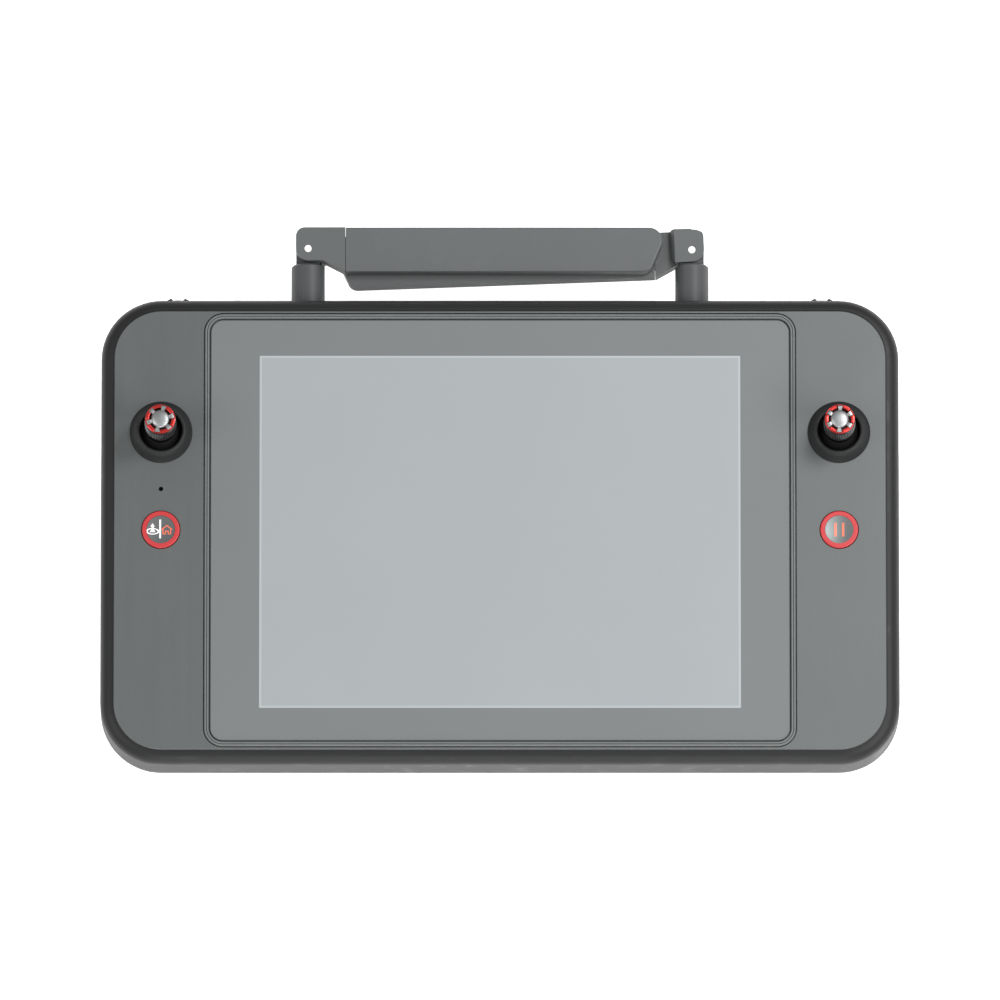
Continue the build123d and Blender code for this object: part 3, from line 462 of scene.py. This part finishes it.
def board_finish():
    """A circuit board: green mask, copper traces showing through as a grid of fine lines."""
    finish = Finish("board", Roughness=0.4)
    brick = {"Vector": finish.place, "Scale": 260.0, "Mortar Size": 0.03}
    traces = finish.add("ShaderNodeTexBrick", None, brick, 1)
    cloud = finish.noise(60.0)
    base = finish.mix(cloud, (0.008, 0.05, 0.02), (0.015, 0.075, 0.03))
    finish.feed("Base Color", finish.mix(traces * 0.5, base, (0.05, 0.16, 0.06)))
    finish.bump(traces, 0.02 * MM)
    return finish.material


def floor_finish():
    """A plain pale studio floor with a faint texture."""
    finish = Finish("studio_floor", Specular_IOR_Level=0.1)
    cloud = finish.noise(3.0)
    finish.feed("Base Color", finish.mix(cloud, (0.93, 0.93, 0.93), (0.95, 0.95, 0.95)))
    finish.feed("Roughness", 0.85 + 0.05 * cloud)
    finish.feed("Emission Color", (1.0, 1.0, 1.0))
    finish.feed("Emission Strength", 0.6)
    return finish.material


DARK = (0.0085, 0.0088, 0.009)
BLACK = (0.008, 0.008, 0.009)
CASING = moulded("dark_casing", DARK, 0.5, 0.3, 0.012, Specular_IOR_Level=0.3)
GRIP_SHELL = moulded("grip_shell", tint(DARK, 0.9), 0.6, 0.35, 0.014, Specular_IOR_Level=0.35)
RUBBER = dotted("grip_rubber", (0.018, 0.018, 0.019), 1.5, 0.72, 0.16, Specular_IOR_Level=0.25)
FLAP = moulded("flap_rubber", (0.017, 0.017, 0.018), 0.7, 0.22, 0.012, Specular_IOR_Level=0.25)
GASKET = moulded("gasket_rubber", (0.11, 0.118, 0.118), 0.5, 0.2, 0.006)
COLLAR = moulded("collar_plastic", (0.012, 0.0125, 0.013), 0.6, 0.25, 0.008, Specular_IOR_Level=0.3)
STEM = moulded("stem_black", tint(BLACK, 0.5), 0.75, 0.2, 0.004, Specular_IOR_Level=0.12)
BLACK_PLASTIC = moulded("black_plastic", (0.006, 0.006, 0.006), 0.5, 0.25, 0.008)
KEY = moulded("key_plastic", (0.02, 0.021, 0.022), 0.4, 0.25, 0.005)
ANTENNA = moulded("antenna_plastic", (0.083, 0.088, 0.089), 0.5, 0.22, 0.008, Specular_IOR_Level=0.4)
BUTTON_RED = moulded("button_red", (0.42, 0.025, 0.028), 0.38, 0.25, 0.003)
WRAP = moulded("battery_wrap", (0.03, 0.05, 0.11), 0.35, 0.5, 0.01)
RED_METAL = metal("red_anodised", (0.6, 0.05, 0.045), 0.32)
BRIGHT = metal("bright_metal", (0.72, 0.72, 0.71), 0.28)
# Painted reflection: the steel pin ends are painted near white for the bright surround they reflect.
PIN = moulded("pin_painted_reflection", (0.97, 0.97, 0.96), 0.3, 0.3, 0.003, 0.01, Metallic=0.3)
CAST = metal("cast_metal", (0.5, 0.5, 0.5), 0.45, (750.0, 750.0, 750.0), 0.02)
SCREW = metal("screw_steel", (0.12, 0.12, 0.125), 0.35)
BRASS = metal("brass", (0.7, 0.5, 0.22), 0.3)
FACE = face_paint()
HOME_FACE = home_face()
PAUSE_FACE = pause_face()
POST = streaked("antenna_post", (0.055, 0.058, 0.06), 0.5, Specular_IOR_Level=0.35)
KNURLS = {side: knurled_metal(side) for side in SIDES}
CROWN_BASE = metal("crown_seat", (0.02, 0.02, 0.022), 0.4)
TIP = metal("tip_steel", (0.3, 0.31, 0.31), 0.42, (1250.0, 150.0, 150.0), 0.03)
GLASS = screen_glass()
BOARD = board_finish()


# Modelling

def fresh():
    """Leaves nothing selected, so that the next operator touches only its own piece."""
    bpy.ops.object.select_all(action="DESELECT")


def pick(piece):
    """Makes one piece the only one selected, and the active one."""
    fresh()
    piece.select_set(True)
    bpy.context.view_layer.objects.active = piece


def select_faces(piece, test):
    """Selects the faces that pass a test, from object or edit mode, and ends in edit mode."""
    bpy.ops.object.mode_set(mode="EDIT")
    bpy.ops.mesh.select_mode(type="FACE")
    bpy.ops.mesh.select_all(action="DESELECT")
    bpy.ops.object.mode_set(mode="OBJECT")
    for face in piece.data.polygons:
        face.select = test(face)
    bpy.ops.object.mode_set(mode="EDIT")


def outward():
    """Turns every face of the piece in edit mode to point out."""
    bpy.ops.mesh.select_all(action="SELECT")
    bpy.ops.mesh.normals_make_consistent(inside=False)


def settle(piece, name, material, angle=35.0):
    """Puts a piece's place into its mesh, names it and gives it its finish and shading."""
    if bpy.context.mode != "OBJECT":
        bpy.ops.object.mode_set(mode="OBJECT")
    pick(piece)
    bpy.ops.object.transform_apply(location=True, rotation=True, scale=True)
    bpy.ops.object.shade_smooth_by_angle(angle=radians(angle))
    piece.name = name
    piece.data.name = name
    piece.data.materials.clear()
    piece.data.materials.append(material)
    return piece


def copy_of(piece, name, matrix, material=None):
    """The same shape again in another place, with its own mesh."""
    twin = piece.copy()
    twin.data = piece.data.copy()
    bpy.context.scene.collection.objects.link(twin)
    twin.data.transform(matrix)
    twin.name = name
    twin.data.name = name
    if material:
        twin.data.materials.clear()
        twin.data.materials.append(material)
    return twin


def joined(parts):
    """Several pieces as one."""
    fresh()
    for part in parts:
        part.select_set(True)
    bpy.context.view_layer.objects.active = parts[0]
    bpy.ops.object.join()
    return bpy.context.object


def belongs(piece, body, slot, *nodes):
    """Says what a piece moves with and hides the CAD nodes it stands for. The slot argument is not
    used.
    """
    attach(piece, body)
    if nodes:
        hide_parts(*nodes)


def turned(rings, centre, segments=96):
    """A disc carried up through (radius, height) rings, in millimetres from the centre."""
    radius, height = rings[0]
    place = centre + Vector((0.0, 0.0, height * MM))
    bpy.ops.mesh.primitive_circle_add(
        vertices=segments, radius=radius * MM, fill_type="NGON", location=place
    )
    piece = bpy.context.object
    bpy.ops.object.mode_set(mode="EDIT")
    bpy.ops.mesh.select_all(action="SELECT")
    for (r0, h0), (r1, h1) in zip(rings, rings[1:]):
        move = {"value": (0.0, 0.0, (h1 - h0) * MM)}
        bpy.ops.mesh.extrude_region_move(TRANSFORM_OT_translate=move)
        axis_point = centre + Vector((0.0, 0.0, h1 * MM))
        bpy.ops.transform.resize(value=(r1 / r0, r1 / r0, 1.0), center_override=axis_point)
    outward()
    bpy.ops.object.mode_set(mode="OBJECT")
    return piece


ARC_SEGMENTS = 144
ARC_SOFTNESS = 0.22


def arcs(centre, height, inner, outer, thick, keep):
    """Short arcs of a ring, raised by thick and softened on top. keep(angle) picks where they are."""
    place = centre + Vector((0.0, 0.0, height * MM))
    bpy.ops.mesh.primitive_circle_add(
        vertices=ARC_SEGMENTS, radius=outer * MM, fill_type="NGON", location=place
    )
    piece = bpy.context.object
    bpy.ops.object.mode_set(mode="EDIT")
    bpy.ops.mesh.select_all(action="SELECT")
    bpy.ops.mesh.inset(thickness=(outer - inner) * MM, depth=0.0)

    def spare(face):
        """The inner disc, and the parts of the ring that are not kept."""
        if len(face.vertices) > 4:
            return True
        return not keep(degrees(atan2(face.center.y, face.center.x)))

    select_faces(piece, spare)
    bpy.ops.mesh.delete(type="FACE")
    bpy.ops.mesh.select_all(action="SELECT")
    bpy.ops.mesh.extrude_region_move(TRANSFORM_OT_translate={"value": (0.0, 0.0, thick * MM)})
    bpy.ops.mesh.region_to_loop()
    bpy.ops.mesh.bevel(offset=ARC_SOFTNESS * MM, segments=2, affect="EDGES")
    outward()
    bpy.ops.object.mode_set(mode="OBJECT")
    return piece


# Sticks: (radius, height) rings and heights in millimetres over the face

KNOB_RINGS = (
    (2.4, 8.1), (4.6, 6.45), (4.85, 6.4), (5.0, 6.55), (5.02, 7.2), (5.05, 9.4), (5.18, 10.4),
    (5.2, 11.2), (5.0, 11.4), (5.0, 18.75), (5.22, 18.95), (5.22, 19.15), (5.0, 19.3), (2.6, 19.32),
)
DOME_RINGS = (
    (3.1, 19.25), (3.1, 20.35), (2.95, 20.75), (2.6, 21.0), (1.9, 21.2), (1.0, 21.3), (0.2, 21.33),
)
SEAT_RINGS = ((3.2, 19.25), (3.7, 19.3), (3.72, 19.42), (3.05, 19.45))
KNURL_R = 5.0
KNURL_TURN = 28.5
KNURL_PITCH = 0.6
KNURL_ROWS = 12
KNURL_LOW = 11.72
STUD_R = 0.56
STUD_DEPTH = 0.34
STUD_OUT = 0.12
CROWN_LOW = 19.3
CROWN_IN, CROWN_OUT, CROWN_T, CROWN_GAP = 3.75, 4.98, 1.5, 27.0
RIM_IN, RIM_T, RIM_ARC = 4.66, 1.35, 29.0
SPOKE_IN, SPOKE_OUT, SPOKE_T, SPOKE_ARC = 2.9, 4.62, 1.42, 24.0
# How far each crown is turned, in degrees
CROWN_TURN = {"left": 15.0, "right": 28.0}


def knurl(centre):
    """Rows of small pyramids wound round the barrel, each row set half a step on from the last."""
    start = centre + Vector((KNURL_R * MM, 0.0, KNURL_LOW * MM))
    bpy.ops.mesh.primitive_cone_add(
        vertices=4, radius1=STUD_R * MM, depth=STUD_DEPTH * MM, end_fill_type="NOTHING",
        location=start + Vector((STUD_OUT * MM, 0.0, 0.0)), rotation=(0.0, radians(90), 0.0),
    )
    studs = bpy.context.object
    bpy.ops.object.transform_apply(location=True, rotation=True, scale=True)
    studs.data.transform(Matrix.Translation(-centre))
    studs.location = centre
    step = bpy.data.objects.new("knurl_step", None)
    bpy.context.scene.collection.objects.link(step)
    step.location = centre + Vector((0.0, 0.0, KNURL_PITCH * MM / KNURL_TURN))
    step.rotation_euler = (0.0, 0.0, tau / KNURL_TURN)
    pick(studs)
    bpy.context.view_layer.update()
    winding = studs.modifiers.new("winding", "ARRAY")
    winding.use_relative_offset = False
    winding.use_object_offset = True
    winding.offset_object = step
    winding.count = int(KNURL_TURN * KNURL_ROWS)
    bpy.ops.object.modifier_apply(modifier="winding")
    bpy.data.objects.remove(step)
    bpy.ops.object.transform_apply(location=True, rotation=True, scale=True)
    return studs


def sixth(angle, width, phase):
    """True within width degrees of one of six even places."""
    away = (angle - phase + 30.0) % 60.0 - 30.0
    return abs(away) < width / 2


def stick_centre(name):
    """The middle of a stick at the height of the face."""
    place = middle(f"stick_knob_{name}")
    return Vector((place.x, place.y, FACE_Z))


def add_crown(name):
    """A stick's red crown ring and its steel tip, whose spokes fill the ring's gaps."""
    centre = stick_centre(name)
    turn = CROWN_TURN[name]
    body = f"stick_{name}"
    crown = joined([
        arcs(centre, CROWN_LOW, CROWN_IN, CROWN_OUT, CROWN_T, lambda a: not sixth(a, CROWN_GAP, turn)),
        arcs(centre, CROWN_LOW, RIM_IN, CROWN_OUT, RIM_T, lambda a: sixth(a, RIM_ARC, turn)),
    ])
    settle(crown, f"crown_{name}", RED_METAL)
    belongs(crown, body, "red_anodised", f"stick_crown_{name}")
    spokes = arcs(centre, CROWN_LOW, SPOKE_IN, SPOKE_OUT, SPOKE_T, lambda a: sixth(a, SPOKE_ARC, turn))
    tip = settle(joined([turned(DOME_RINGS, centre), spokes]), f"tip_{name}", TIP)
    belongs(tip, body, "bright_metal", f"stick_tip_{name}")


def add_knobs():
    """The knurled knobs and the dark seats under their crowns: modelled on the left, then copied."""
    centre = stick_centre("left")
    across = Matrix.Translation(stick_centre("right") - centre)
    knob = joined([turned(KNOB_RINGS, centre), knurl(centre)])
    settle(knob, "knob_left", KNURLS["left"], 50.0)
    seat = settle(turned(SEAT_RINGS, centre), "crown_seat_left", CROWN_BASE)
    knobs = {"left": knob, "right": copy_of(knob, "knob_right", across, KNURLS["right"])}
    seats = {"left": seat, "right": copy_of(seat, "crown_seat_right", across)}
    for name in SIDES:
        belongs(knobs[name], f"stick_{name}", "knob_metal", f"stick_knob_{name}")
        belongs(seats[name], f"stick_{name}", "stem_black")


# Screen surround, in millimetres

GASKET_CORNER = 6.25
GASKET_LOW = 0.55
# How far in and up each step goes from the outer edge: a bead, a groove, a second bead
GASKET_STEPS = (
    (0.08, 0.3), (0.17, 0.18), (0.3, 0.07), (0.17, -0.18), (0.05, -0.3),
    (0.06, 0.0), (0.05, 0.3), (0.17, 0.18), (0.3, 0.0), (0.15, -0.15), (0.08, -0.3),
)


def add_gasket():
    """Two soft beads with a fine groove between them, in one ring round the glass."""
    low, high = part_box("screen_gasket")
    size = high - low
    bpy.ops.mesh.primitive_plane_add(size=1.0, location=(0.0, (low.y + high.y) / 2, low.z))
    ring = bpy.context.object
    ring.scale = (size.x, size.y, 1.0)
    bpy.ops.object.transform_apply(location=True, rotation=True, scale=True)
    bpy.ops.object.mode_set(mode="EDIT")
    bpy.ops.mesh.select_all(action="SELECT")
    bpy.ops.mesh.bevel(offset=GASKET_CORNER * MM, segments=12, affect="VERTICES")
    bpy.ops.mesh.select_all(action="SELECT")
    rise = size.z - GASKET_LOW * MM
    bpy.ops.mesh.extrude_region_move(TRANSFORM_OT_translate={"value": (0.0, 0.0, rise)})
    for width, lift in GASKET_STEPS:
        bpy.ops.mesh.inset(thickness=width * MM, depth=lift * MM)
    bpy.ops.mesh.extrude_region_move(TRANSFORM_OT_translate={"value": (0.0, 0.0, -rise * 0.9)})
    select_faces(ring, lambda face: len(face.vertices) > 4)
    bpy.ops.mesh.delete(type="FACE")
    bpy.ops.mesh.select_mode(type="EDGE")
    bpy.ops.mesh.select_all(action="DESELECT")
    bpy.ops.mesh.select_non_manifold()
    bpy.ops.mesh.bridge_edge_loops()
    outward()
    settle(ring, "gasket_beads", GASKET, 60.0)
    belongs(ring, "casing", "gasket_rubber", "screen_gasket")


# Dials, in millimetres

DIAL_HALF = 2.5
DIAL_SEGMENTS = 144
RIB_DEPTH = 0.26
RIB_ROOT = 0.28
RIB_BEVEL_IN = 0.5
RIB_BEVEL_UP = 0.45
SPINDLE_TOP = 3.5
WHEEL_WALL = 7.0


def add_dials():
    """Thumb wheels with fine ribs all round: modelled on the left, then copied."""
    low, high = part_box("dial_left")
    centre = (low + high) / 2
    inner = (high.x - low.x) / 2 / MM - RIB_ROOT
    rings = (
        (inner - RIB_BEVEL_IN, -DIAL_HALF), (inner, RIB_BEVEL_UP - DIAL_HALF),
        (inner, DIAL_HALF - RIB_BEVEL_UP), (inner - RIB_BEVEL_IN, DIAL_HALF),
        (2.2, DIAL_HALF), (1.9, DIAL_HALF - 0.2), (1.2, DIAL_HALF - 0.2), (1.2, SPINDLE_TOP),
    )
    wheel = turned(rings, centre, DIAL_SEGMENTS)

    def rib(face):
        """Two faces of every three round the wheel's outer wall."""
        out = Vector((face.center.x, face.center.y, 0.0))
        step = degrees(atan2(face.center.y, face.center.x)) / (360.0 / DIAL_SEGMENTS)
        wall = abs(face.normal.z) < 0.1 and out.length > WHEEL_WALL * MM
        return wall and round(step - 0.5) % 3 != 0

    select_faces(wheel, rib)
    bpy.ops.mesh.extrude_region_shrink_fatten(TRANSFORM_OT_shrink_fatten={"value": -RIB_DEPTH * MM})
    outward()
    settle(wheel, "ribbed_dial_left", BRIGHT, 30.0)
    across = Matrix.Translation(middle("dial_right") - centre)
    wheels = {"left": wheel, "right": copy_of(wheel, "ribbed_dial_right", across)}
    for name in SIDES:
        belongs(wheels[name], f"dial_wheel_{name}", "dial_plastic", f"dial_{name}")


# The nodes that come from the CAD as they are

def dress(material, *names):
    """Gives carried-over CAD nodes their finish."""
    for name in names:
        mesh = NODES[name].data
        mesh.materials.clear()
        mesh.materials.append(material)


def both(*names):
    """The left and the right node of each name."""
    return [f"{name}_{side}" for name in names for side in SIDES]


def dress_all():
    dress(CASING, "rim_frame", "rear_shell", "battery_cover", *both("custom_button"))
    dress(GRIP_SHELL, *both("grip_core"))
    dress(RUBBER, *both("grip_sleeve"))
    dress(FLAP, "port_cover")
    dress(FACE, "front_panel")
    dress(GLASS, "cover_glass")
    dress(CAST, "chassis_plate", "heat_sink", "board_components", "port_sockets", "lcd_module")
    dress(BOARD, "main_board", "button_boards")
    dress(BLACK_PLASTIC, "fan_housing", "fan_rotor", "speakers", "antenna_bushes")
    dress(BLACK_PLASTIC, *both("gimbal_frame", "gimbal_yoke", "dial_cradle"))
    dress(WRAP, "battery_pack")
    dress(SCREW, "casing_screws")
    dress(BRASS, "tripod_insert")
    dress(COLLAR, *both("stick_collar"))
    dress(STEM, *both("stick_stem"))
    dress(BUTTON_RED, "home_ring", "pause_ring")
    dress(HOME_FACE, "home_cap")
    dress(PAUSE_FACE, "pause_cap")
    dress(KEY, "record_button", "shutter_button", "power_button")
    dress(ANTENNA, *both("antenna_arm", "antenna_cover"))
    dress(POST, *both("antenna_post"))
    dress(PIN, *both("antenna_pin"))


def add_floor():
    bpy.ops.mesh.primitive_plane_add(size=FLOOR_SIZE, location=(0.0, 0.0, 0.0))
    floor = bpy.context.object
    floor.name = "studio_floor"
    floor.data.materials.append(floor_finish())


add_camera()
add_light()
dress_all()
fresh()
add_knobs()
for side_name in SIDES:
    add_crown(side_name)
add_dials()
add_gasket()
fresh()
add_floor()
